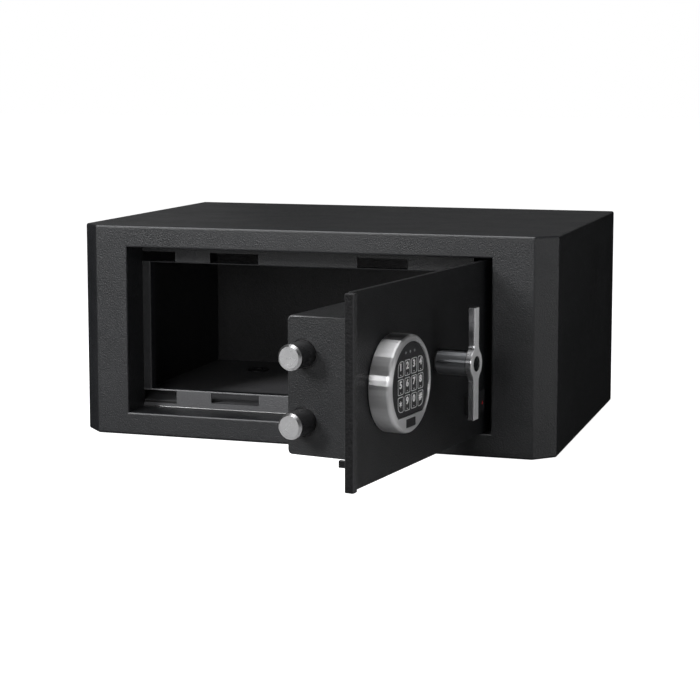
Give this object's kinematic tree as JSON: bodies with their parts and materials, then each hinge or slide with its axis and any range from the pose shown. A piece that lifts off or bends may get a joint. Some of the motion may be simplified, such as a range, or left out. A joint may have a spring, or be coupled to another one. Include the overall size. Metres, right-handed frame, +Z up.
{
  "type": "fireproof safe",
  "caption": "Low fireproof safe with its door open: digital keypad, T handle that draws two round bolts by rack and pinion, floor anchor hole.",
  "frame": {"origin": "centre of the body's underside", "axes": "+Z up, +X to the right seen from the front, front face and door opening towards -Y"},
  "size_m": [0.46, 0.5809, 0.2],
  "materials": {
    "outer_shell": "black fine textured powder coat",
    "back_panel": "black fine textured powder coat",
    "insulation_fill": "off-white fire-resistant board and fill",
    "inner_liner": "black powder coat",
    "jamb_frame": "black fine textured powder coat",
    "anchor_sleeve": "black moulded plastic",
    "lower_hinge_block": "black powder coat",
    "upper_hinge_block": "black powder coat",
    "lower_hinge_pin": "zinc plated steel",
    "upper_hinge_pin": "zinc plated steel",
    "hinge_thrust_washer": "zinc plated steel",
    "door_plate": "black fine textured powder coat",
    "door_edge_bar": "black fine textured powder coat",
    "door_edge_lug": "black fine textured powder coat",
    "lower_hinge_arm": "black fine textured powder coat",
    "upper_hinge_arm": "black fine textured powder coat",
    "door_fireboard": "off-white fire-resistant board and fill",
    "bolt_case": "black fine textured powder coat",
    "lower_bolt_bush": "black moulded plastic",
    "upper_bolt_bush": "black moulded plastic",
    "rack_guide": "black moulded plastic",
    "spindle_bush": "black moulded plastic",
    "rear_spindle_bush": "zinc plated steel",
    "lock_body": "zinc plated steel",
    "lock_cable": "black rubber",
    "lock_latch": "dark steel",
    "keypad_gasket": "black rubber",
    "keypad_ring": "turned satin stainless steel",
    "keypad_board": "green circuit board",
    "keypad_panel": "black moulded plastic",
    "status_light_left": "small clear status lamps",
    "status_light_middle": "small clear status lamps",
    "status_light_right": "small clear status lamps",
    "override_cover": "black moulded plastic",
    "override_window": "small red window",
    "lower_bolt": "turned and nickel plated steel",
    "upper_bolt": "turned and nickel plated steel",
    "bolt_bar": "zinc plated steel",
    "bolt_rack": "zinc plated steel",
    "handle_grip": "satin nickel plated steel",
    "handle_hub_cap": "black moulded plastic",
    "handle_stem": "dark satin steel",
    "handle_spindle": "zinc plated steel",
    "drive_pinion": "zinc plated steel",
    "key_1": "black moulded plastic",
    "key_2": "black moulded plastic",
    "key_3": "black moulded plastic",
    "key_4": "black moulded plastic",
    "key_5": "black moulded plastic",
    "key_6": "black moulded plastic",
    "key_7": "black moulded plastic",
    "key_8": "black moulded plastic",
    "key_star": "black moulded plastic",
    "key_9": "black moulded plastic",
    "key_0": "black moulded plastic",
    "key_hash": "black moulded plastic"
  },
  "bodies": {
    "safe": {"outer_shell": "outer_shell", "back_panel": "back_panel", "insulation_fill": "insulation_fill", "inner_liner": "inner_liner", "jamb_frame": "jamb_frame", "anchor_sleeve": "anchor_sleeve", "lower_hinge_block": "lower_hinge_block", "upper_hinge_block": "upper_hinge_block", "lower_hinge_pin": "lower_hinge_pin", "upper_hinge_pin": "upper_hinge_pin", "hinge_thrust_washer": "hinge_thrust_washer"},
    "door": {"door_plate": "door_plate", "door_edge_bar": "door_edge_bar", "door_edge_lug": "door_edge_lug", "lower_hinge_arm": "lower_hinge_arm", "upper_hinge_arm": "upper_hinge_arm", "door_fireboard": "door_fireboard", "bolt_case": "bolt_case", "lower_bolt_bush": "lower_bolt_bush", "upper_bolt_bush": "upper_bolt_bush", "rack_guide": "rack_guide", "spindle_bush": "spindle_bush", "rear_spindle_bush": "rear_spindle_bush", "lock_body": "lock_body", "lock_cable": "lock_cable", "lock_latch": "lock_latch", "keypad_gasket": "keypad_gasket", "keypad_ring": "keypad_ring", "keypad_board": "keypad_board", "keypad_panel": "keypad_panel", "status_light_left": "status_light_left", "status_light_middle": "status_light_middle", "status_light_right": "status_light_right", "override_cover": "override_cover", "override_window": "override_window"},
    "boltwork": {"lower_bolt": "lower_bolt", "upper_bolt": "upper_bolt", "bolt_bar": "bolt_bar", "bolt_rack": "bolt_rack"},
    "handle": {"handle_grip": "handle_grip", "handle_hub_cap": "handle_hub_cap", "handle_stem": "handle_stem", "handle_spindle": "handle_spindle", "drive_pinion": "drive_pinion"},
    "key_1_button": {"key_1": "key_1"},
    "key_2_button": {"key_2": "key_2"},
    "key_3_button": {"key_3": "key_3"},
    "key_4_button": {"key_4": "key_4"},
    "key_5_button": {"key_5": "key_5"},
    "key_6_button": {"key_6": "key_6"},
    "key_7_button": {"key_7": "key_7"},
    "key_8_button": {"key_8": "key_8"},
    "key_star_button": {"key_star": "key_star"},
    "key_9_button": {"key_9": "key_9"},
    "key_0_button": {"key_0": "key_0"},
    "key_hash_button": {"key_hash": "key_hash"}
  },
  "joints": [
    {"name": "door_swing", "type": "hinge", "parent": "safe", "child": "door", "pos_m": [0.1445, -0.0962, 0.1], "axis": [0, 0, 1], "range_deg": [-80.4, 4.6]},
    {"name": "handle_turn", "type": "hinge", "parent": "door", "child": "handle", "pos_m": [0.14975, -0.25581, 0.1015], "axis": [-0.986, 0.1668, 0], "range_deg": [0, 90]},
    {"name": "bolt_slide", "type": "slide", "parent": "door", "child": "boltwork", "axis": [0.1668, 0.986, 0], "range_m": [0, 0.022]},
    {"name": "key_1_press", "type": "slide", "parent": "door", "child": "key_1_button", "axis": [-0.986, 0.1668, 0], "range_m": [0, 0.0008], "stiffness_N_per_m": 400},
    {"name": "key_2_press", "type": "slide", "parent": "door", "child": "key_2_button", "axis": [-0.986, 0.1668, 0], "range_m": [0, 0.0008], "stiffness_N_per_m": 400},
    {"name": "key_3_press", "type": "slide", "parent": "door", "child": "key_3_button", "axis": [-0.986, 0.1668, 0], "range_m": [0, 0.0008], "stiffness_N_per_m": 400},
    {"name": "key_4_press", "type": "slide", "parent": "door", "child": "key_4_button", "axis": [-0.986, 0.1668, 0], "range_m": [0, 0.0008], "stiffness_N_per_m": 400},
    {"name": "key_5_press", "type": "slide", "parent": "door", "child": "key_5_button", "axis": [-0.986, 0.1668, 0], "range_m": [0, 0.0008], "stiffness_N_per_m": 400},
    {"name": "key_6_press", "type": "slide", "parent": "door", "child": "key_6_button", "axis": [-0.986, 0.1668, 0], "range_m": [0, 0.0008], "stiffness_N_per_m": 400},
    {"name": "key_7_press", "type": "slide", "parent": "door", "child": "key_7_button", "axis": [-0.986, 0.1668, 0], "range_m": [0, 0.0008], "stiffness_N_per_m": 400},
    {"name": "key_8_press", "type": "slide", "parent": "door", "child": "key_8_button", "axis": [-0.986, 0.1668, 0], "range_m": [0, 0.0008], "stiffness_N_per_m": 400},
    {"name": "key_star_press", "type": "slide", "parent": "door", "child": "key_star_button", "axis": [-0.986, 0.1668, 0], "range_m": [0, 0.0008], "stiffness_N_per_m": 400},
    {"name": "key_9_press", "type": "slide", "parent": "door", "child": "key_9_button", "axis": [-0.986, 0.1668, 0], "range_m": [0, 0.0008], "stiffness_N_per_m": 400},
    {"name": "key_0_press", "type": "slide", "parent": "door", "child": "key_0_button", "axis": [-0.986, 0.1668, 0], "range_m": [0, 0.0008], "stiffness_N_per_m": 400},
    {"name": "key_hash_press", "type": "slide", "parent": "door", "child": "key_hash_button", "axis": [-0.986, 0.1668, 0], "range_m": [0, 0.0008], "stiffness_N_per_m": 400}
  ],
  "couplings": [
    {"joint": "bolt_slide", "follows": "handle_turn", "m_per_rad": 0.014}
  ]
}
